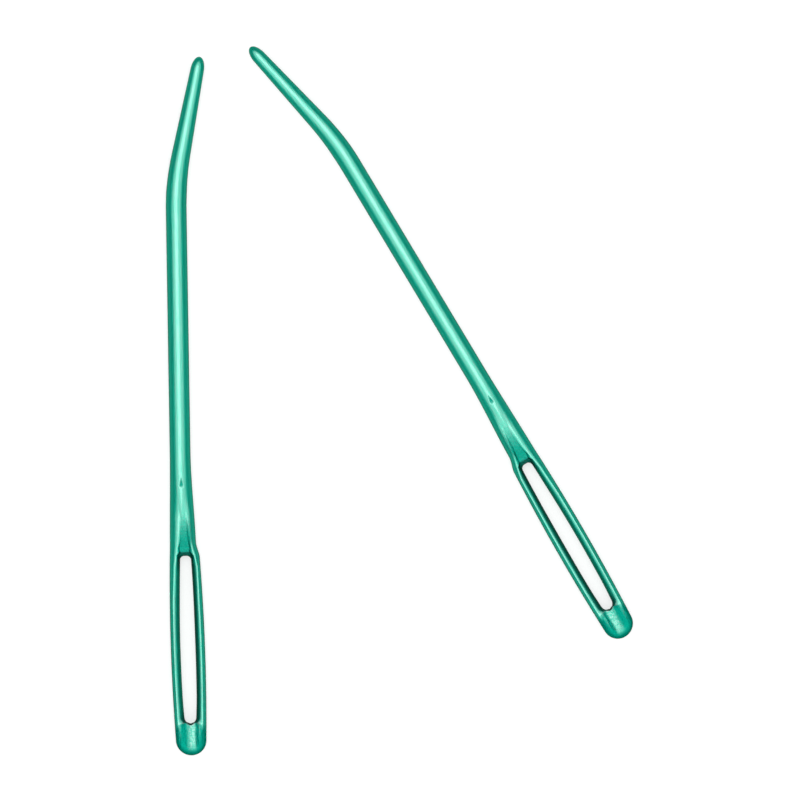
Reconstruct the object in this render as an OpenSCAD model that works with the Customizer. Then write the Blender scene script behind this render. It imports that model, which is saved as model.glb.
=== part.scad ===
// A pair of bent-tip yarn needles in green anodised aluminium wire.
// Each needle is a single piece of round wire. One end is swaged to a blunt taper and bent
// sideways, so that the tip comes up through a stitch. The other end is pressed flat, pierced
// with a long eye and coined to a shallow valley that leads the yarn into the eye.
// One needle is drawn lying along +Y, with the middle of its butt near the origin, and the
// pair is that needle twice: once as drawn, and once turned over on its back.
// Each needle is two solids that meet face to face, cut square across where the neck has become
// round wire: the eye end, which is open in the middle, and the shaft with its bent tip.

/* [Wire] */
// Diameter of the drawn wire
wire_d = 2.6; // [2.4:0.02:2.8]
// Length of straight round wire between the neck and the bend
shaft_len = 30.1; // [18:0.1:45]

/* [Tip] */
// Radius of the bend, at the middle of the wire
bend_r = 34.2; // [25:0.1:60]
// Angle that the tip is bent sideways
bend_angle = 11.7; // [4:0.1:25]
// Straight length from the end of the bend to the start of the round nose
tip_len = 10.73; // [7:0.1:18]
// Length of the bend that is already tapered
taper_lead = 4.8; // [1:0.1:6]
// Diameter where the round nose starts
nose_d = 1.7; // [1.2:0.02:2]
// Length of the round nose
nose_len = 1.75; // [0.8:0.05:2.5]

/* [Eye] */
// Radius of the round butt, seen from above
butt_r = 1.91; // [1.75:0.01:2]
// Length of solid metal between the butt and the eye
cap_len = 3.94; // [3.2:0.02:5]
// Length of the opening
eye_len = 21; // [15:0.1:27]
// Length from the opening's butt end to the widest place across the rails
eye_peak = 9.1; // [7:0.1:11]
// Width across both rails at their widest place
eye_w = 4.3; // [4.05:0.01:4.6]
// Width of each rail
rail_w = 1.2; // [0.95:0.01:1.25]
// Height of each rail
rail_h = 1.9; // [1.5:0.02:2.3]
// Corner radius of the opening towards the butt
butt_corner_r = 0.72; // [0.3:0.01:0.8]
// Corner radius of the opening towards the shaft
neck_corner_r = 0.5; // [0.3:0.01:0.6]
// Sideways lean of the eye towards the side that the tip bends to
eye_lean = 1.09; // [0:0.01:2]
// Sideways offset of the eye where it meets the neck
eye_shift = 0.37; // [0:0.01:0.5]

/* [Neck] */
// Length over which the flat eye turns back into round wire
neck_len = 13.1; // [11:0.1:18]
// Extra half width where the neck leaves the shoulder
neck_flare = 0.35; // [0.2:0.01:0.45]
// Sideways offset of the neck where it leaves the shoulder
neck_shift = 0.18; // [0:0.01:0.3]
// Length of the shoulder that steps in from the eye to the neck
shoulder_len = 2; // [1.5:0.1:3]
// Length of the coined valley in the neck
valley_len = 9.7; // [6:0.1:10.5]
// Length of the dish in the butt, behind the opening
dish_len = 2.6; // [1.5:0.05:2.8]

/* [Pair] */
// Place of the left needle's butt, from the middle of the pair
left_at = [-26.81, -44.34];
// Angle that the left needle leans, anticlockwise from +Y
left_turn = 0.92; // [-10:0.02:10]
// Place of the right needle's butt, from the middle of the pair
right_at = [28.97, -29.05];
// Angle that the right needle leans, anticlockwise from +Y
right_turn = 30.92; // [10:0.02:60]

/* [Hidden] */
needle_color = "mediumseagreen";

// Radii and half sizes
wire_r = wire_d / 2;
nose_r = nose_d / 2;
rail_half_w = rail_w / 2;
rail_half_h = rail_h / 2;
// The pair rests on whichever is deeper, the wire or the rails
rest_z = max(wire_r, rail_half_h);

// Places along the wire, from the butt
eye_start = cap_len;
eye_end = eye_start + eye_len;
eye_widest = eye_start + eye_peak;
shoulder_start = eye_end - shoulder_len / 10;
shoulder_end = shoulder_start + shoulder_len;
neck_end = eye_end + neck_len;
bend_start = neck_end + shaft_len;
bend_len = bend_r * bend_angle * PI / 180;
bend_end = bend_start + bend_len;
taper_start = bend_end - min(taper_lead, bend_len);
nose_start = bend_end + tip_len;

// Length over which the butt's upper and lower faces round off
butt_edge = 1.1;
// How square the butt's section is: 2 is an ellipse, and more is squarer
butt_square = 2.8;
// The rail's rounded section carries on over its crest, down to this angle of the eye's wall
lip_angle = 130;
// Corners of the opening stay a little narrower than half of its width
corner_limit = 0.9;

// Widest facet round the wire and down the walls of the eye
facet_w = 0.25;
// Points on each half of a section, and rows of facets down each wall of the eye
half_points = ceil(PI * wire_r / facet_w);
// The flat facet on top of a section lies at its full height
facet_lift = 1 / cos(90 / half_points);
wall_rows = ceil(rail_h / facet_w);
// Longest steps between sections: where the shape turns quickly, in curves and in long runs
quick_step = 0.3;
curve_step = 0.7;
run_step = 1.25;
// Sections round each small corner, and the angles that they stand at
corner_steps = 6;
corner_angles = [for (i = [0 : corner_steps - 1]) 90 * i / corner_steps];
half_angle = 45 / corner_steps;

// 0 before a, 1 after b, with a smooth step between them
function ramp(u, a, b) = let (t = min(max((u - a) / (b - a), 0), 1)) t * t * (3 - 2 * t);
function mix(p, q, share) = p + (q - p) * share;
// A corner of radius r takes this much off the half width, at a distance d from its end
function corner(d, r) = d >= r ? 0 : r - sqrt(r * r - (r - d) * (r - d));
// A number raised to a power, with its sign kept
function signed_pow(x, p) = sign(x) * pow(abs(x), p);

// Half width of the eye's outline: a shallow bow, widest at eye_widest
function eye_half_w(u) =
    eye_w / 2 - (eye_w / 2 - butt_r) * pow((u - eye_widest) / (eye_widest - butt_r), 2);
function neck_half_w(u) = wire_r + neck_flare * (1 - ramp(u, eye_end, neck_end));
function flat_half_w(u) =
    u < butt_r ? butt_r - corner(u, butt_r)
    : mix(eye_half_w(u), neck_half_w(u), ramp(u, shoulder_start, shoulder_end));
// Radius of the round wire, with its taper and its nose
function round_half_w(u) =
    u > nose_start ? nose_r * sqrt(1 - pow((u - nose_start) / nose_len, 2))
    : mix(wire_r, nose_r, max(u - taper_start, 0) / (nose_start - taper_start));
function half_w(u) = u < neck_end ? flat_half_w(u) : round_half_w(u);
function half_h(u) =
    u < neck_end
    ? mix(rail_half_h, wire_r, ramp(u, eye_end, neck_end)) * (1 - corner(u / butt_edge, 1))
    : round_half_w(u);
function squareness(u) = mix(butt_square, 2, ramp(u, eye_start, eye_end));

// Half width of the opening, level with the middle of the wire
function slot_half_w(u) =
    let (place = min(max(u, eye_start), eye_end))
    let (full = eye_half_w(place) - rail_w)
    full - corner(place - eye_start, min(butt_corner_r, full * corner_limit))
         - corner(eye_end - place, min(neck_corner_r, full * corner_limit));
// 0 where the section is two rails, and 1 where it has become one plain round
function plainness(u) =
    u < eye_start ? 1 - ramp(u, eye_start - dish_len, eye_start)
    : ramp(u, eye_end, eye_end + valley_len);

// A point on the right rail's section: angle 0 faces outwards and 90 is the crest
function rail_point(u, angle) =
    let (crest = half_w(u) - rail_half_w)
    let (reach = abs(angle) <= 90 ? rail_half_w : crest - slot_half_w(u))
    [crest + reach * cos(angle), half_h(u) * sin(angle)];
// A point on the right half of a plain section
function plain_point(u, angle) =
    let (power = 2 / squareness(u))
    let (lifted = min(max(sin(angle) * facet_lift, -1), 1))
    [half_w(u) * signed_pow(cos(angle), power), half_h(u) * signed_pow(lifted, power)];

// Right half of the section at u, from its lower edge round the outside to its upper edge
function half_section(u) = [
    for (i = [0 : half_points - 1])
        let (turn = (i + 0.5) / half_points * 2 - 1)
        let (edge_turn = i / (half_points - 1) * 2 - 1)
        mix(rail_point(u, lip_angle * edge_turn), plain_point(u, 90 * turn), plainness(u))
];
// Wall of the eye at u, between its upper and its lower edge
function wall_section(u) = [
    for (row = [1 : wall_rows - 1])
        rail_point(u, lip_angle + (360 - 2 * lip_angle) * row / wall_rows)
];
function mirrored(points) = [for (p = points) [-p[0], p[1]]];
function reversed(points) = [for (i = [len(points) - 1 : -1 : 0]) points[i]];

// Middle of the wire at u, and the angle that it heads, clockwise from +Y
function eye_x(u) = eye_shift + (eye_end - u) * tan(eye_lean);
function neck_x(u) = neck_shift * (1 - ramp(u, eye_end, neck_end));
function flat_x(u) = mix(eye_x(u), neck_x(u), ramp(u, shoulder_start, shoulder_end));
function heading(u) = bend_angle * min(max(u - bend_start, 0), bend_len) / bend_len;
function middle(u) =
    u <= neck_end ? [flat_x(u), u]
    : u <= bend_start ? [0, u]
    : let (a = heading(u), straight = max(u - bend_end, 0))
      [bend_r * (1 - cos(a)) + straight * sin(a), bend_start + bend_r * sin(a) + straight * cos(a)];
// Carries a section's points to their place on the wire
function on_wire(u, points) =
    let (m = middle(u), a = heading(u))
    [for (p = points) [m[0] + p[0] * cos(a), m[1] - p[0] * sin(a), p[1]]];

// Sections along the wire. They crowd together where the shape turns quickly.
function spread(a, b, step) =
    let (n = max(ceil((b - a) / step), 1))
    [for (i = [0 : n - 1]) mix(a, b, i / n)];
butt_stations = concat(
    [for (t = corner_angles) butt_edge * (1 - cos(t + half_angle))],
    spread(butt_edge, eye_start, quick_step)
);
eye_stations = concat(
    [for (t = corner_angles) eye_start + butt_corner_r * (1 - cos(t))],
    spread(eye_start + butt_corner_r, eye_end - neck_corner_r, run_step),
    [for (t = corner_angles) eye_end - neck_corner_r * (1 - sin(t))],
    [eye_end]
);
neck_stations = concat(
    [for (u = spread(eye_end, shoulder_end, quick_step)) if (u > eye_end) u],
    spread(shoulder_end, neck_end, curve_step),
    [neck_end]
);
eye_end_stations = concat(butt_stations, eye_stations, neck_stations);
shaft_stations = concat(
    [neck_end],
    spread(bend_start, bend_end, curve_step),
    spread(bend_end, nose_start, run_step),
    [for (t = corner_angles) nose_start + nose_len * sin(t)],
    [nose_start + nose_len * cos(half_angle)]
);
eye_first = len(butt_stations);
eye_last = eye_first + len(eye_stations) - 1;

// Whole section at u, in its place on the wire, and the points of both walls of the eye there
function section(u) = let (half = half_section(u)) on_wire(u, concat(half, reversed(mirrored(half))));
function walls(u) = let (inner = wall_section(u)) on_wire(u, concat(inner, mirrored(inner)));

// Numbers of the points: i counts round section j, and row counts down the right wall of the
// eye, side 0, or the left one, side 1. The walls' own points follow those of the sections.
ring = 2 * half_points;
function skin(j, i) = j * ring + i % ring;
function wall(j, side, row) =
    row == 0 ? skin(j, side == 0 ? half_points - 1 : half_points)
    : row == wall_rows ? skin(j, side == 0 ? 0 : ring - 1)
    : len(eye_end_stations) * ring + ((j - eye_first) * 2 + side) * (wall_rows - 1) + row - 1;
function quad(a, b, c, d) = [[a, b, c], [a, c, d]];
function is_middle(i) = i == half_points - 1 || i == ring - 1;
function skin_quad(j, i) = quad(skin(j, i), skin(j, i + 1), skin(j + 1, i + 1), skin(j + 1, i));
function first_face() = [for (i = [ring - 1 : -1 : 0]) skin(0, i)];
function last_face(stations) = [for (i = [0 : ring - 1]) skin(len(stations) - 1, i)];

// The eye end of a needle. Its skin is a tube of sections, whose upper and lower middle strips
// are left out along the eye. Two walls close the rails there, and two end walls the opening.
module eye_end() {
    skin_faces = [
        for (j = [0 : len(eye_end_stations) - 2], i = [0 : ring - 1])
            if (j < eye_first || j >= eye_last || !is_middle(i)) each skin_quad(j, i)
    ];
    right_wall_faces = [
        for (j = [eye_first : eye_last - 1], row = [0 : wall_rows - 1])
            each quad(wall(j, 0, row), wall(j, 0, row + 1), wall(j + 1, 0, row + 1), wall(j + 1, 0, row))
    ];
    left_wall_faces = [
        for (j = [eye_first : eye_last - 1], row = [0 : wall_rows - 1])
            each quad(wall(j, 1, row), wall(j + 1, 1, row), wall(j + 1, 1, row + 1), wall(j, 1, row + 1))
    ];
    butt_wall_faces = [
        for (row = [0 : wall_rows - 1])
            each quad(wall(eye_first, 0, row), wall(eye_first, 1, row),
                      wall(eye_first, 1, row + 1), wall(eye_first, 0, row + 1))
    ];
    neck_wall_faces = [
        for (row = [0 : wall_rows - 1])
            each quad(wall(eye_last, 0, row), wall(eye_last, 0, row + 1),
                      wall(eye_last, 1, row + 1), wall(eye_last, 1, row))
    ];
    polyhedron(
        points = concat(
            [for (u = eye_end_stations) each section(u)],
            [for (u = eye_stations) each walls(u)]
        ),
        faces = concat(
            skin_faces, right_wall_faces, left_wall_faces, butt_wall_faces, neck_wall_faces,
            [first_face(), last_face(eye_end_stations)]
        )
    );
}

// The round wire, with its bend, its taper and its round nose
module shaft() {
    skin_faces = [
        for (j = [0 : len(shaft_stations) - 2], i = [0 : ring - 1]) each skin_quad(j, i)
    ];
    polyhedron(
        points = [for (u = shaft_stations) each section(u)],
        faces = concat(skin_faces, [first_face(), last_face(shaft_stations)])
    );
}

// The needle on the left lies as drawn, with its tip bent to the right.
module on_the_left() {
    color(needle_color)
        translate([left_at[0], left_at[1], rest_z])
            rotate([0, 0, left_turn])
                children();
}

// The needle on the right is turned over on its back, so its tip bends to the left.
module on_the_right() {
    color(needle_color)
        translate([right_at[0], right_at[1], rest_z])
            rotate([0, 180, right_turn])
                children();
}

module left_eye() {
    on_the_left() eye_end();
}

module left_shaft() {
    on_the_left() shaft();
}

module right_eye() {
    on_the_right() eye_end();
}

module right_shaft() {
    on_the_right() shaft();
}

left_eye();
left_shaft();
right_eye();
right_shaft();
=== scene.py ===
# %% [markdown]
# A pair of bent-tip yarn needles in green anodised aluminium, lying on a white table and seen
# from straight above. A real needle starts as a straight length of round wire. One end is swaged
# to a blunt taper and bent sideways. The other end is pressed flat, pierced with a long eye and
# coined to a shallow valley that leads the yarn into the eye. The lesson starts the same way, with
# a tube of rings for the wire. It pierces the tube where the eye will be, and then one pass
# carries every point of the tube to its formed place.

# %% Load the fixed frame
import math

import bmesh
import bpy
from mathutils import Matrix, Vector


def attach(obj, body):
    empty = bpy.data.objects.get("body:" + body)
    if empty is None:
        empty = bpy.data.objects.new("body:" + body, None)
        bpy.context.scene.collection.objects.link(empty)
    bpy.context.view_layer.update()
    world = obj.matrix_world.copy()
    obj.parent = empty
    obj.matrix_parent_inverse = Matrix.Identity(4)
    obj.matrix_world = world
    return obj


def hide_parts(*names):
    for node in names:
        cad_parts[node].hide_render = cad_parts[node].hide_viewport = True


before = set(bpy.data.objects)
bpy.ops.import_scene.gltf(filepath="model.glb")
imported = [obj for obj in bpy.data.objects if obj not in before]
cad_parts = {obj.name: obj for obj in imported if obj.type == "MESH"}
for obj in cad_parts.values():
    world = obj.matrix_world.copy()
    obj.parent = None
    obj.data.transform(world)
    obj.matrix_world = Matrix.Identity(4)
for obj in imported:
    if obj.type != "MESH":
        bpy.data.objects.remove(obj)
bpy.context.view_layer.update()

# %% [markdown]
# The camera comes first, because everything is judged through it. The photograph looks straight
# down from far away, so a long lens one metre up gives nearly parallel lines. Its picture is
# 100 mm wide at the middle of the wire.

# %% The camera
MM = 0.001
picture_w = 100 * MM
camera_up = 1.0
aim = Vector((0.07 * MM, 0.09 * MM, 1.3 * MM))
sensor_w = 36.0

camera_data = bpy.data.cameras.new("camera_above")
camera_data.sensor_width = sensor_w
camera_data.lens = sensor_w * camera_up / picture_w
camera = bpy.data.objects.new("camera_above", camera_data)
camera.location = aim + Vector((0, 0, camera_up))
bpy.context.collection.objects.link(camera)
bpy.context.scene.camera = camera
print("lens", camera_data.lens, "mm")

# %% [markdown]
# These are the needle's sizes in millimetres. All but two are the solid model's own: the rails are
# 0.02 mm wider here, and the corners at the butt end of the opening are 0.08 mm rounder, because
# the photograph's opening measures so. u is the distance along the wire from the butt, and x is
# across it, towards the side that the tip bends to.

# %% Sizes of the wire, the tip and the eye
wire_r = 1.3
bend_r = 34.2
bend_angle = math.radians(11.7)
tip_len = 10.73
taper_lead = 4.8
nose_r = 0.85
nose_len = 1.75

butt_r = 1.91
eye_start = 3.94
eye_len = 21.0
eye_peak = 9.1
eye_end = eye_start + eye_len
eye_widest = eye_start + eye_peak
eye_half = 2.15
rail_w = 1.22
rail_half_h = 0.95
butt_corner_r = 0.8
neck_corner_r = 0.5
eye_lean = math.radians(1.09)
eye_shift = 0.37

neck_len = 13.1
neck_end = eye_end + neck_len
neck_flare = 0.35
neck_shift = 0.18
shoulder_len = 2.0
shoulder_start = eye_end - shoulder_len / 10
shoulder_end = shoulder_start + shoulder_len
butt_edge = 1.1
butt_square = 2.8
lip_angle = 130

shaft_len = 30.1
bend_start = neck_end + shaft_len
bend_len = bend_r * bend_angle
bend_end = bend_start + bend_len
taper_start = bend_end - taper_lead
nose_start = bend_end + tip_len
needle_len = nose_start + nose_len
print("length along the wire", round(needle_len, 2), "mm")

# %% [markdown]
# The outline seen from above is a few simple curves. ramp() is a smooth step from 0 to 1, and
# corner() is what a round corner takes off a half width. line() draws the ridges of the neck, and
# bump() the edges of the dish and the rim of the opening. The neck comes to the wire's full height
# sooner here than in the solid model.

# %% Half widths and half heights along the wire
height_rise = eye_end - 1, eye_end + 9


def ramp(u, a, b):
    t = min(max((u - a) / (b - a), 0), 1)
    return t * t * (3 - 2 * t)


def mix(p, q, share):
    return p + (q - p) * share


def corner(d, r):
    return 0 if d >= r else r - math.sqrt(max(r * r - (r - d) ** 2, 0))


def line(u, points):
    """A smooth line through (u, value) points, level beyond both ends."""
    u = min(max(u, points[0][0]), points[-1][0])
    i = max(k for k in range(len(points) - 1) if points[k][0] <= u)
    before, here, there, after = (points[min(max(k, 0), len(points) - 1)] for k in range(i - 1, i + 3))
    gap = there[0] - here[0]
    t = (u - here[0]) / gap
    slope_here = (there[1] - before[1]) / (there[0] - before[0]) * gap
    slope_there = (after[1] - here[1]) / (after[0] - here[0]) * gap
    return (
        (1 + 2 * t) * (1 - t) ** 2 * here[1] + t * (1 - t) ** 2 * slope_here
        + t * t * (3 - 2 * t) * there[1] - t * t * (1 - t) * slope_there
    )


def bump(u, middle, reach):
    """1 at the middle, falling smoothly to 0 at a distance of reach on both sides."""
    return 1 - ramp(abs(u - middle), 0, reach)


def eye_half_w(u):
    return eye_half - (eye_half - butt_r) * ((u - eye_widest) / (eye_widest - butt_r)) ** 2


def half_w(u):
    if u < butt_r:
        return butt_r - corner(u, butt_r)
    if u < neck_end:
        neck_half_w = wire_r + neck_flare * (1 - ramp(u, eye_end, neck_end))
        return mix(eye_half_w(u), neck_half_w, ramp(u, shoulder_start, shoulder_end))
    if u < nose_start:
        return mix(wire_r, nose_r, max(u - taper_start, 0) / (nose_start - taper_start))
    return nose_r * math.sqrt(max(1 - ((u - nose_start) / nose_len) ** 2, 0))


def half_h(u):
    if u < neck_end:
        flat = mix(rail_half_h, wire_r, ramp(u, *height_rise))
        return flat * (1 - corner(u / butt_edge, 1))
    return half_w(u)


for u in (1, 13, 30, 50, nose_start):
    print("at", round(u, 1), "half width", round(half_w(u), 2), "half height", round(half_h(u), 2))

# %% [markdown]
# The middle of the wire is not straight. The eye leans a little to the side that the tip bends
# to, the neck steps back, and the tip follows an arc and then its tangent.

# %% The middle of the wire
def flat_x(u):
    eye_x = eye_shift + (eye_end - u) * math.tan(eye_lean)
    neck_x = neck_shift * (1 - ramp(u, eye_end, neck_end))
    return mix(eye_x, neck_x, ramp(u, shoulder_start, shoulder_end))


def on_wire(u, x, z):
    """Carries a point of the section at u to its place on the bent wire."""
    if u <= bend_start:
        return Vector((flat_x(u) + x, u, z))
    a = bend_angle * min(u - bend_start, bend_len) / bend_len
    straight = max(u - bend_end, 0)
    middle_x = bend_r * (1 - math.cos(a)) + straight * math.sin(a)
    middle_y = bend_start + bend_r * math.sin(a) + straight * math.cos(a)
    return Vector((middle_x + x * math.cos(a), middle_y - x * math.sin(a), z))


print("the tip ends", round(on_wire(needle_len, 0, 0).x, 2), "mm to the side")

# %% [markdown]
# A section is either two rails with the opening between them, or one plain round. Each rail falls
# off outward from its crest, and inward to the opening, in a curve a little more pointed than an
# ellipse. The two kinds blend where the metal closes at both ends of the eye. At its neck end the
# opening lies a little to one side, as the photograph shows. The crests of the rails run on into
# the neck as two ridges with a shallow valley between them, and fade out before the shaft.

# %% Sections
crest_in = 0.47
low_drift, high_drift = 0.18, 0.07
drift_start, ridge_start = 19.0, 23.6
rail_power = 1.75
neck_power = 1.8
low_ridge = [
    (23.6, -0.885), (24.7, -0.71), (25.8, -0.53),
    (26.9, -0.41), (29.5, -0.24), (31.5, -0.18),
]
high_ridge = [
    (23.6, 1.93), (24.7, 1.66), (25.9, 1.33), (27.2, 1.11),
    (29.0, 0.97), (31.0, 0.87), (33.0, 0.75),
]
valley_wall = 0.35
valley_wall_lead = 1.0
valley_shallow = 0.55
valley_shallow_lead = 2.5
valley_fade = 27.0, 33.0
round_fade = 31.0, 37.0
slot_offset = 0.09
slot_pinch = 0.07
pinch_len = 3.5
cap_blend_len = 1.0


def slot_half_w(u, side):
    place = min(max(u, eye_start), eye_end)
    full = eye_half_w(place) - rail_w
    cut = corner(place - eye_start, butt_corner_r) + corner(eye_end - place, neck_corner_r)
    cut += slot_pinch * (1 - ramp(place, eye_start, eye_start + pinch_len))
    return full - cut + side * slot_offset * ramp(place, eye_widest, eye_end)


def plainness(u):
    """0 where the section is two rails, and 1 where it has become one plain round."""
    if u < eye_start:
        return 1 - ramp(u, eye_start - cap_blend_len, eye_start)
    return ramp(u, *valley_fade)


def crest_x(u, side):
    """How far the crest of a rail, or the ridge that follows it, is from the wire's middle."""
    if u <= ridge_start:
        drift = high_drift if side > 0 else -low_drift
        return half_w(u) - crest_in + drift * ramp(u, drift_start, ridge_start)
    return line(u, high_ridge) - flat_x(u) if side > 0 else flat_x(u) - line(u, low_ridge)


def signed_pow(value, power):
    return math.copysign(abs(value) ** power, value)


def rail_point(u, side, angle):
    crest = crest_x(u, side)
    if abs(angle) <= 90:
        reach = half_w(u) - crest
    else:
        wall_reach = valley_wall / -math.cos(math.radians(lip_angle))
        past_eye = ramp(u, eye_end, eye_end + valley_wall_lead)
        reach = mix(crest - slot_half_w(u, side), wall_reach, past_eye)
    turn = math.radians(angle)
    across = signed_pow(math.cos(turn), 2 / rail_power)
    upward = signed_pow(math.sin(turn), 2 / rail_power)
    if abs(angle) > 90 and u > eye_end:
        raised = valley_shallow * ramp(u, eye_end, eye_end + valley_shallow_lead)
        upward = mix(upward, math.copysign(1, upward), raised)
    return crest + reach * across, half_h(u) * upward


def plain_point(u, turn):
    square = mix(butt_square, neck_power, ramp(u, eye_start, eye_end))
    square = mix(square, 2, ramp(u, *round_fade))
    across = half_w(u) * signed_pow(math.cos(turn), 2 / square)
    return across, half_h(u) * signed_pow(math.sin(turn), 2 / square)


print("opening", round(2 * slot_half_w(eye_widest, 1), 2), "mm wide at its widest")

# %% [markdown]
# Dies coin both faces of the flat end. They leave a trough across the butt behind the opening,
# and past the valley in the neck a small triangular notch. coined() gives how far the dies push
# the surface in, and two marks for the finish: painted shade, darker on the struck slopes and
# floors and in the notch, with a painted highlight across the middle of the dish and along its
# ridges; and where the struck face is grainy. The valley's own shape is in its sections already,
# so it only gives marks.

# %% Coined dish, valley and notch
slope_rounding = 0.35
ridge_reach = 0.2
dish_low, dish_low_floor = -1.32, -0.3
dish_high_floor, dish_high = 0.55, 1.12
dish_depth = 0.26
dish_ridge = 0.02
dish_start, dish_full = 0.3, 1.6
# A painted highlight across the middle of the dish and along its two ridges takes its painted shade
# away.
dish_lit = -0.6, 0.15, 0.38, 0.75
lit_share = 0.85
ridge_light_share = 0.5
ridge_light_start = 1.5
dish_on_rail = 0.35, 0.05
dish_fade = eye_start - 0.9, eye_start + 0.1

# Painted shade on the floor of the valley and in the notch.
floor_shade = 0.95
floor_fade = 28.5, 31.5
floor_edge = 0.05
floor_widening = 0.35
floor_widens = 25.6, 27.2
notch_start, notch_end = 33.5, 34.8
notch_low, notch_high, notch_tip = -0.22, 0.46, 0.12
notch_depth = 0.09
notch_wall = 0.12
notch_lead = 0.2


def rise(x, a, b):
    """An even slope from 0 at a to 1 at b, hardly rounded at its ends."""
    t = min(max((x - a) / (b - a), 0), 1)
    return mix(t, ramp(x, a, b), slope_rounding)


def trough(x, low, low_floor, high_floor, high):
    """1 on the floor of a trough, and 0 from its edges outward."""
    return rise(x, low, low_floor) * (1 - rise(x, high_floor, high))


def dish(u, x):
    strength = ramp(u, dish_start, dish_full)
    floor = trough(x, dish_low, dish_low_floor, dish_high_floor, dish_high)
    ridge = bump(x, dish_low, ridge_reach) + bump(x, dish_high, ridge_reach)
    # A painted highlight across the middle of the dish and along its ridges takes its painted shade
    # away.
    lit = lit_share * strength * trough(x, *dish_lit)
    ridge_light = ridge_light_share * ridge * ramp(u, ridge_light_start, eye_start)
    on_rail = ramp(abs(x), *(crest_x(eye_start, 1) - inward for inward in dish_on_rail))
    struck = 1 - on_rail * ramp(u, *dish_fade)
    dull_and_shade = (1 - lit) * (1 - ridge_light) * struck
    return strength * (dish_depth * floor - dish_ridge * ridge), dull_and_shade, strength * struck


def valley(u, x):
    """The two marks of the valley's floor: painted shade, and grain."""
    low, high = -crest_x(u, -1), crest_x(u, 1)
    high += floor_widening * ramp(u, *floor_widens)
    floor = trough(x, low + floor_edge, low + valley_wall, high - valley_wall, high)
    floor *= 1 - ramp(u, *valley_fade)
    return floor_shade * floor * (1 - ramp(u, *floor_fade)), floor


def notch(u, x):
    """1 on the floor of the notch, which narrows from its wide end to its tip."""
    along = (u - notch_start) / (notch_end - notch_start)
    if not 0 < along < 1:
        return 0
    low = mix(notch_low, notch_tip, along) - flat_x(u)
    high = mix(notch_high, notch_tip, along) - flat_x(u)
    wall = min(notch_wall, (high - low) / 2)
    return trough(x, low, low + wall, high - wall, high) * ramp(along, 0, notch_lead)


def coined(u, x):
    """How far the dies push the surface in at x, and two marks: painted shade, and grain."""
    if u < eye_start:
        return dish(u, x)
    if u < eye_end - 1 or u > notch_end:
        return 0, 0, 0
    dull_and_shade, grain = valley(u, x)
    dent = notch(u, x)
    # The floor of the notch takes painted shade.
    return notch_depth * dent, max(dull_and_shade, dent), grain


print("valley is", round(crest_x(28, 1) + crest_x(28, -1), 2), "mm wide at 28")

# %% [markdown]
# The tube of rings is a blank of radius 1. A circle is extruded ring by ring, closely where the
# needle turns quickly and widely along the plain shaft, and its two ends are merged to poles.
# Then the strip over the opening is deleted on the top and on the underside, the two holes are
# bridged, and the new walls are subdivided into rows.

# %% Rings of the blank
def spread(a, b, step):
    count = max(math.ceil((b - a) / step), 1)
    return [mix(a, b, i / count) for i in range(count)]


corner_rings = 10
quarter = [math.radians(90 * i / corner_rings) for i in range(corner_rings)]
fine_step = 0.14
eye_step = 0.28
neck_step = 0.16
shaft_step = 0.8
bend_step = 0.35
tip_step = 0.7
valley_end = 36.0
bend_zone = 2.5

rings = [butt_edge * (1 - math.cos(t)) for t in quarter]
rings += spread(butt_edge, eye_start, fine_step)
rings += [eye_start + butt_corner_r * (1 - math.cos(t)) for t in quarter]
rings += spread(eye_start + butt_corner_r, eye_end - neck_corner_r, eye_step)
rings += [eye_end - neck_corner_r * (1 - math.sin(t)) for t in quarter]
rings += spread(eye_end, valley_end, neck_step)
rings += spread(valley_end, bend_start - bend_zone, shaft_step)
rings += spread(bend_start - bend_zone, bend_end + bend_zone, bend_step)
rings += spread(bend_end + bend_zone, nose_start, tip_step)
rings += [nose_start + nose_len * math.sin(t) for t in quarter] + [needle_len]
print(len(rings), "rings")

# %% The blank tube
ring_points = 112
strip_half = 6
strip_angle = 2 * math.pi * strip_half / ring_points
strip_x = math.sin(strip_angle)
wall_rows = 12
tiny = 1e-4


def close_pole(bm, verts, u):
    bmesh.ops.pointmerge(bm, verts=verts, merge_co=Vector((0, u, 0)))


def make_tube():
    bm = bmesh.new()
    for name in ("inside", "dull_and_shade", "grain"):
        bm.verts.layers.float.new(name)
    bm.verts.layers.float_vector.new("wire_place")
    upright = Matrix.Rotation(math.radians(90), 4, "X")
    first = bmesh.ops.create_circle(bm, segments=ring_points, radius=1, matrix=upright)["verts"]
    first = list(first)
    edges = list(bm.edges)
    for before, u in zip(rings, rings[1:]):
        made = bmesh.ops.extrude_edge_only(bm, edges=edges)["geom"]
        verts = [item for item in made if isinstance(item, bmesh.types.BMVert)]
        bmesh.ops.translate(bm, verts=verts, vec=(0, u - before, 0))
        new = set(verts)
        edges = [e for e in made if isinstance(e, bmesh.types.BMEdge) and new.issuperset(e.verts)]
    close_pole(bm, verts, rings[-1])
    close_pole(bm, first, rings[0])
    return bm


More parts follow.
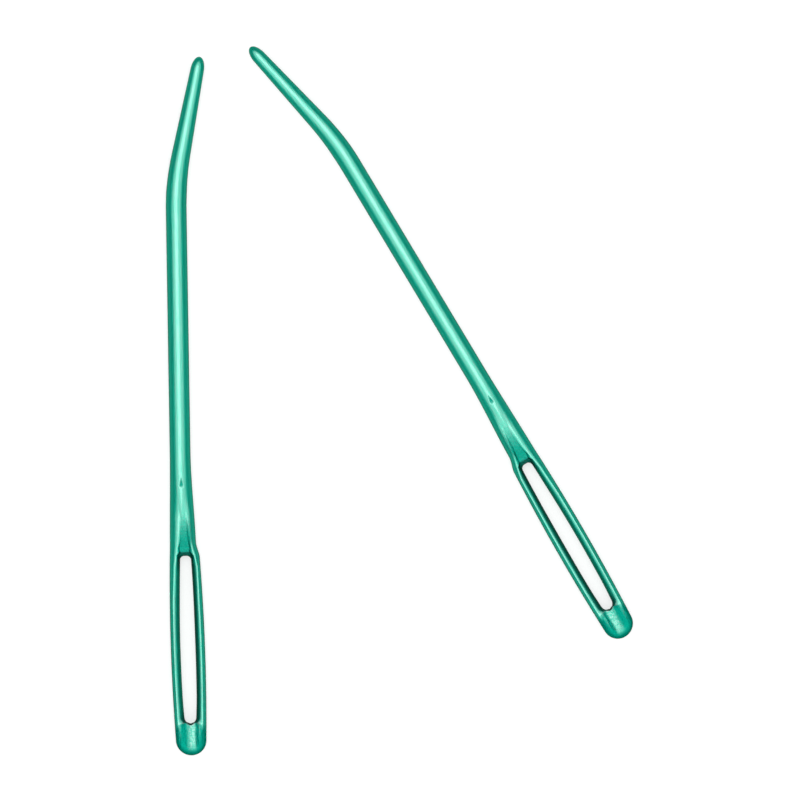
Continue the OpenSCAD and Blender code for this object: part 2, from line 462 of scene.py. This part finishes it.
def pierce(bm):
    """Cuts the strip over the eye out of both faces and joins the two holes by walls."""
    def over_eye(face):
        c = face.calc_center_median()
        return eye_start < c.y < eye_end and abs(c.x) < strip_x

    strip = [face for face in bm.faces if over_eye(face)]
    bmesh.ops.delete(bm, geom=strip, context="FACES")
    rim = [edge for edge in bm.edges if edge.is_boundary]
    made = bmesh.ops.bridge_loops(bm, edges=rim)
    upright = [e for e in made["edges"] if e.verts[0].co.z * e.verts[1].co.z < 0]
    crooked = [e for e in upright if (e.verts[0].co - e.verts[1].co).xy.length > tiny]
    cut = bmesh.ops.subdivide_edges(bm, edges=upright, cuts=wall_rows - 1, use_grid_fill=True)
    inner = [item for item in cut["geom_inner"] if isinstance(item, bmesh.types.BMVert)]
    # The new wall points are marked, and the mark later carries their painted shade.
    inside = bm.verts.layers.float["inside"]
    for vert in inner:
        vert[inside] = 1
    print(len(rim), "rim edges,", len(upright), "upright,", len(crooked), "of them crooked")
    print(len(inner), "points inside the walls")


blank = make_tube()
print(len(blank.verts), "points in the tube")

# %% [markdown]
# One pass then forms the blank. A point's place on the tube tells its angle round the wire and
# its distance along it, and those two give its place on the finished needle. At both ends of the
# opening the rim is set back from the wall below it, so that yarn meets no sharp edge, and at the
# butt end the rim comes forward again in the corners.

# %% Forming
butt_setback = 0.08
butt_rounding = 0.3
neck_setback = 0.48
setback_fade = 2.0
flank_clear = 0.9
flank_low, flank_high = 0.15, 0.6
flank_lead = 0.6
# Painted shade on the walls of the opening is full, except along the middle of the wall at -x, where
# light falls on it. The skin just inside the rim of the opening takes it too.
lit_wall_shade = 0.12
lit_wall_from = eye_start + 0.5, eye_start + 2
lit_wall_to = eye_end - 2.2, eye_end - 0.6
inner_side_angle = 95
inner_side_start = eye_start - 0.15, eye_start
inner_side_end = eye_end, eye_end + 0.3


def setback(u, share, across):
    """How far the rim is moved along the wire from the end wall below it.

    share is 1 at the rim, and across is 0 in the middle of the opening and 1 at its sides.
    """
    if share <= 0:
        return 0
    toward_butt = bump(u, eye_start, setback_fade if u < eye_start else 1)
    toward_neck = bump(u, eye_end, setback_fade if u > eye_end else neck_corner_r * 2)
    rounded = butt_rounding * across ** 2 - butt_setback
    return share * (neck_setback * toward_neck + rounded * toward_butt)


def shade_on_wall(u, side):
    """Painted shade on a wall of the opening: full at +x, less mid-way along the lit wall at -x."""
    wall_lit = ramp(u, *lit_wall_from) * (1 - ramp(u, *lit_wall_to))
    return 1 if side > 0 else mix(1, lit_wall_shade, wall_lit)


def form_wall(point):
    """A point on a wall of the opening: row is 0 at the upper rim and 1 at the lower one."""
    u = point.y
    top = math.sqrt(1 - min(point.x ** 2, 1))
    row = (top - point.z) / (2 * top)
    side = math.copysign(1, point.x)
    across = min(abs(point.x) / strip_x, 1)
    angle = lip_angle + (360 - 2 * lip_angle) * row
    x, z = rail_point(u, side, angle)
    rim_share = (z / rail_point(u, side, lip_angle)[1]) ** 2
    return on_wire(u + setback(u, rim_share, across), side * across * x, z)


def form_skin(point):
    u = point.y
    side = math.copysign(1, point.x)
    turn = math.atan2(point.z, abs(point.x))
    plain_x, plain_z = plain_point(u, turn)
    edge_turn = turn / (math.pi / 2 - strip_angle)
    share = plainness(u)
    across = min((math.pi / 2 - abs(turn)) / strip_angle, 1)
    if abs(edge_turn) <= 1:
        rail_x, rail_z = rail_point(u, side, lip_angle * edge_turn)
        rim_share = ramp(abs(edge_turn), 90 / lip_angle, 1)
    else:
        rail_x, rail_z = rail_point(u, side, math.copysign(lip_angle, turn))
        rail_x *= across
        rim_share = 1
    if u > valley_end:
        rail_x, rail_z = plain_x, plain_z
    x = mix(rail_x, plain_x, share)
    z = mix(rail_z, plain_z, share)
    pushed, dull_and_shade, grain = coined(u, side * x)
    # Most of the painted shade is taken off the sides near mid-height, except at the very butt end.
    flank = 1 - ramp(abs(z), flank_low * half_h(u), flank_high * half_h(u) + tiny)
    dull_and_shade *= 1 - flank * flank_clear * ramp(u, flank_lead, eye_start - flank_lead)
    z -= math.copysign(min(pushed * share, abs(z)), z)
    if not (eye_start - setback_fade < u < eye_end + setback_fade):
        rim_share = 0
    return on_wire(u + setback(u, rim_share, across), side * x, z), dull_and_shade, grain


def form(bm):
    inside, dull_and_shade, grain = (
        bm.verts.layers.float[name] for name in ("inside", "dull_and_shade", "grain")
    )
    place = bm.verts.layers.float_vector["wire_place"]
    for vert in bm.verts:
        u = vert.co.y
        # The inside mark is painted shade, on the walls and on the skin just inside the rim.
        mark = shade_on_wall(u, vert.co.x)
        if vert[inside]:
            vert[inside] = mark
            vert.co = form_wall(vert.co)
        else:
            turn = abs(math.atan2(vert.co.z, abs(vert.co.x))) / (math.pi / 2 - strip_angle)
            vert.co, vert[dull_and_shade], vert[grain] = form_skin(vert.co)
            in_eye = ramp(u, *inner_side_start) * (1 - ramp(u, *inner_side_end))
            vert[inside] = mark * in_eye * ramp(turn, inner_side_angle / lip_angle, 1)
        vert[place] = vert.co * MM
    bmesh.ops.scale(bm, verts=bm.verts, vec=(MM, MM, MM))
    bmesh.ops.recalc_face_normals(bm, faces=bm.faces)


pierce(blank)
form(blank)
print("volume", round(blank.calc_volume() * 1e9, 1), "cubic mm,", len(blank.faces), "faces")
print("open edges", sum(edge.is_boundary for edge in blank.edges))

# %% [markdown]
# The pair is that needle twice. The left one lies as formed, with its tip bent to the right. The
# right one is turned over on its back, so its tip bends to the left. Each copy is moved in its
# mesh, so that its object stays at the origin, and it stands for the two solids of its needle.

# %% Two needles
rest_z = 1.3
left_at = (-26.81, -44.34)
left_turn = math.radians(0.92)
right_at = (28.97, -29.05)
right_turn = math.radians(30.92)


def lay_needle(name, at, rotation, body, nodes):
    mesh = bpy.data.meshes.new(name)
    blank.to_mesh(mesh)
    place = Matrix.Translation(Vector((at[0], at[1], rest_z)) * MM)
    mesh.transform(place @ rotation.to_4x4())
    mesh.polygons.foreach_set("use_smooth", [True] * len(mesh.polygons))
    needle = bpy.data.objects.new(name, mesh)
    bpy.context.collection.objects.link(needle)
    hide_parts(*nodes)
    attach(needle, body)
    return needle


turned_over = Matrix.Rotation(math.pi, 3, "Y")
left_needle = lay_needle(
    "left_yarn_needle", left_at, Matrix.Rotation(left_turn, 3, "Z"),
    "left_needle", ("left_eye", "left_shaft"),
)
right_needle = lay_needle(
    "right_yarn_needle", right_at, Matrix.Rotation(right_turn, 3, "Z") @ turned_over,
    "right_needle", ("right_eye", "right_shaft"),
)
print("left needle has", len(left_needle.data.polygons), "faces")

# %% [markdown]
# The finish is dyed anodised aluminium: bright green metal under a thin clear layer of oxide.
# The metal scatters light broadly, because drawing and etching leave it satin, and the clear
# layer adds a narrower, whiter gleam on top. Where the surface turns away it stays dark, with no
# white edge. Fine lines run along the drawn wire. The faces that the dies struck are grainy and
# duller. Their colour also carries painted shade on their slopes, floors and notch, and a painted
# highlight across the middle of the dish and along its ridges. The walls of the eye carry painted
# shade, lighter along the middle of one wall.

# %% The anodised finish
dye_green = (0.005, 0.355, 0.245, 1)
# Painted shade colour for the struck slopes and floors, and the notch.
coined_shade_colour = (0.001, 0.21, 0.15, 1)
# Painted shade colour for the walls of the opening.
wall_shade_colour = (0.003, 0.16, 0.12, 1)
edge_tint = (0.0, 0.0, 0.0, 1)
metal_rough, rough_swing = 0.46, 0.06
coat_ior = 2.0
coat_rough = 0.16
gleam_slant = 0.03, 0.14
gleam_least = 0.08
line_stretch = (1, 0.1, 1)
line_scale, line_detail = 6000, 3
grain_scale, grain_detail = 4200, 2
streak_noise, streak_gleam = (0.3, 0.7), (0.6, 1.2)
speck_noise, speck_gleam = (0.35, 0.65), (0.3, 1.3)
line_relief = 0.5
relief_depth = 0.08 * MM


def add(nodes, kind, **values):
    node = nodes.new(kind)
    for key, value in values.items():
        setattr(node, key, value)
    return node


def point_value(nodes, name):
    """A mark or a place that the forming left on every point."""
    return add(nodes, "ShaderNodeAttribute", attribute_name=name)


def noise(nodes, links, place, scale, detail):
    node = add(nodes, "ShaderNodeTexNoise")
    node.inputs["Scale"].default_value = scale
    node.inputs["Detail"].default_value = detail
    links.new(place, node.inputs["Vector"])
    return node.outputs["Fac"]


def remap(nodes, links, value, source, target, **kind):
    """Carries a value from the source range to the target range."""
    node = add(nodes, "ShaderNodeMapRange", **kind)
    for name, number in zip(("From Min", "From Max", "To Min", "To Max"), (*source, *target)):
        node.inputs[name].default_value = number
    links.new(value, node.inputs["Value"])
    return node.outputs["Result"]


def combine(nodes, links, operation, a, b, **kind):
    """Adds or multiplies two values, each of them a socket or a number."""
    node = add(nodes, "ShaderNodeMath", operation=operation, **kind)
    for value, socket in zip((a, b), node.inputs):
        if isinstance(value, float):
            socket.default_value = value
        else:
            links.new(value, socket)
    return node.outputs[0]


def dyed(nodes, links, dull_and_shade, inside):
    """The dye's colour, with painted shade on the struck faces and on the walls of the eye."""
    # Painted shade on the coined faces, lighter where they carry painted highlights.
    struck = add(nodes, "ShaderNodeMix", data_type="RGBA")
    struck.inputs[6].default_value = dye_green
    struck.inputs[7].default_value = coined_shade_colour
    links.new(dull_and_shade, struck.inputs[0])
    # Painted shade on the walls of the opening.
    pierced = add(nodes, "ShaderNodeMix", data_type="RGBA")
    pierced.inputs[7].default_value = wall_shade_colour
    links.new(struck.outputs[2], pierced.inputs[6])
    links.new(inside, pierced.inputs[0])
    return pierced.outputs[2]


def coat_share(nodes, links, dull_and_shade, grainy, lines, grain):
    """How much clear gleam shows: it fades on slopes and struck faces, in streaks or specks."""
    slant = add(nodes, "ShaderNodeLayerWeight").outputs["Facing"]
    full_to_least = (1.0, gleam_least)
    gleam = remap(nodes, links, slant, gleam_slant, full_to_least, interpolation_type="SMOOTHSTEP")
    dull = remap(nodes, links, dull_and_shade, (0.0, 1.0), (1.0, 0.0))
    texture = add(nodes, "ShaderNodeMix")
    links.new(grainy, texture.inputs[0])
    links.new(remap(nodes, links, lines, streak_noise, streak_gleam), texture.inputs[2])
    links.new(remap(nodes, links, grain, speck_noise, speck_gleam), texture.inputs[3])
    sheen = combine(nodes, links, "MULTIPLY", gleam, dull)
    return combine(nodes, links, "MULTIPLY", sheen, texture.outputs[0], use_clamp=True)


def fine_relief(nodes, links, grainy, lines, grain):
    """The lines of the drawn wire, and the grain of the struck faces on top of them."""
    grain_height = combine(nodes, links, "MULTIPLY", grain, grainy)
    line_height = combine(nodes, links, "MULTIPLY", lines, line_relief)
    relief = add(nodes, "ShaderNodeBump")
    relief.inputs["Distance"].default_value = relief_depth
    links.new(combine(nodes, links, "ADD", grain_height, line_height), relief.inputs["Height"])
    return relief.outputs["Normal"]


def anodised_finish():
    material = bpy.data.materials.new("green_anodised_wire")
    material.use_nodes = True
    nodes, links = material.node_tree.nodes, material.node_tree.links
    shader = nodes["Principled BSDF"]
    shader.inputs["Metallic"].default_value = 1.0
    shader.inputs["Specular Tint"].default_value = edge_tint
    shader.inputs["Coat IOR"].default_value = coat_ior
    shader.inputs["Coat Roughness"].default_value = coat_rough

    place = point_value(nodes, "wire_place").outputs["Vector"]
    inside = point_value(nodes, "inside").outputs["Fac"]
    dull_and_shade = point_value(nodes, "dull_and_shade").outputs["Fac"]
    grainy = point_value(nodes, "grain").outputs["Fac"]
    stretched = add(nodes, "ShaderNodeMapping")
    stretched.inputs["Scale"].default_value = line_stretch
    links.new(place, stretched.inputs["Vector"])
    lines = noise(nodes, links, stretched.outputs["Vector"], line_scale, line_detail)
    grain = noise(nodes, links, place, grain_scale, grain_detail)

    rough_range = metal_rough - rough_swing, metal_rough + rough_swing
    roughness = remap(nodes, links, lines, (0.0, 1.0), rough_range)
    coat = coat_share(nodes, links, dull_and_shade, grainy, lines, grain)
    links.new(dyed(nodes, links, dull_and_shade, inside), shader.inputs["Base Color"])
    links.new(roughness, shader.inputs["Roughness"])
    links.new(coat, shader.inputs["Coat Weight"])
    links.new(fine_relief(nodes, links, grainy, lines, grain), shader.inputs["Normal"])
    return material


anodised = anodised_finish()
for needle in (left_needle, right_needle):
    needle.data.materials.append(anodised)
print("finish", anodised.name)

# %% [markdown]
# The needles lie on a plain white table. The table's shader adds a little light of its own for
# the camera and for reflections, so that it reads as the photograph's white, and the rest of it
# still takes the needles' soft shadow.

# %% The table
table_half = 2.0
table_color = (0.93, 0.93, 0.93, 1)
table_glow = 0.62


def white_table():
    bm = bmesh.new()
    bmesh.ops.create_grid(bm, x_segments=1, y_segments=1, size=table_half)
    mesh = bpy.data.meshes.new("white_table")
    bm.to_mesh(mesh)
    bm.free()
    table = bpy.data.objects.new("white_table", mesh)
    bpy.context.collection.objects.link(table)
    material = bpy.data.materials.new("table_white")
    material.use_nodes = True
    nodes, links = material.node_tree.nodes, material.node_tree.links
    nodes.clear()
    paint = add(nodes, "ShaderNodeBsdfDiffuse")
    paint.inputs["Color"].default_value = table_color
    glow = add(nodes, "ShaderNodeEmission")
    rays = add(nodes, "ShaderNodeLightPath")
    seen = rays.outputs["Is Camera Ray"]
    for kind in ("Is Glossy Ray", "Is Transmission Ray"):
        seen = combine(nodes, links, "ADD", seen, rays.outputs[kind], use_clamp=True)
    blend = add(nodes, "ShaderNodeMixShader")
    links.new(combine(nodes, links, "MULTIPLY", seen, table_glow), blend.inputs["Fac"])
    links.new(paint.outputs[0], blend.inputs[1])
    links.new(glow.outputs[0], blend.inputs[2])
    out = add(nodes, "ShaderNodeOutputMaterial")
    links.new(blend.outputs[0], out.inputs["Surface"])
    mesh.materials.append(material)
    return table


table = white_table()
print("table", 2 * table_half, "m across")

# %% [markdown]
# A wide round softbox hangs high above the camera, a little towards the butts. A smaller and
# brighter one leans the other way and gives the gleam its peak. The sky is dim. Together they
# light a white card on the table to about 1, so a colour renders about as it is written.

# %% The lights
light_heading = Vector((0.274, -0.962, 0)).normalized()
wide_radiance, wide_half_angle, wide_tilt, wide_distance = 1.15, 59, 14, 1.8
key_radiance, key_half_angle, key_tilt, key_distance = 1.75, 18, -9, 1.6
sky_strength = 0.25


def softbox(name, radiance, half_angle, tilt, distance):
    """A round area light that fills a cone of the given half angle, seen from the needles."""
    data = bpy.data.lights.new(name, "AREA")
    data.shape = "DISK"
    radius = distance * math.tan(math.radians(half_angle))
    data.size = 2 * radius
    data.energy = 4 * radiance * math.pi * radius ** 2
    lamp = bpy.data.objects.new(name, data)
    lean = math.radians(tilt)
    toward = Vector((0, 0, math.cos(lean))) + light_heading * math.sin(lean)
    lamp.location = toward * distance
    lamp.rotation_euler = toward.to_track_quat("Z", "Y").to_euler()
    bpy.context.collection.objects.link(lamp)
    return radiance * math.sin(math.radians(half_angle)) ** 2 * math.cos(lean)


def sky():
    world = bpy.data.worlds.new("studio_sky")
    bpy.context.scene.world = world
    world.use_nodes = True
    background = world.node_tree.nodes["Background"]
    background.inputs["Color"].default_value = (1, 1, 1, 1)
    background.inputs["Strength"].default_value = sky_strength
    return sky_strength * (1 - math.sin(math.radians(wide_half_angle)) ** 2)


level = softbox("wide_softbox", wide_radiance, wide_half_angle, wide_tilt, wide_distance)
level += softbox("key_softbox", key_radiance, key_half_angle, key_tilt, key_distance)
level += sky()
bpy.context.scene.view_settings.view_transform = "Standard"
print("a white card on the table is lit to about", round(level, 2))
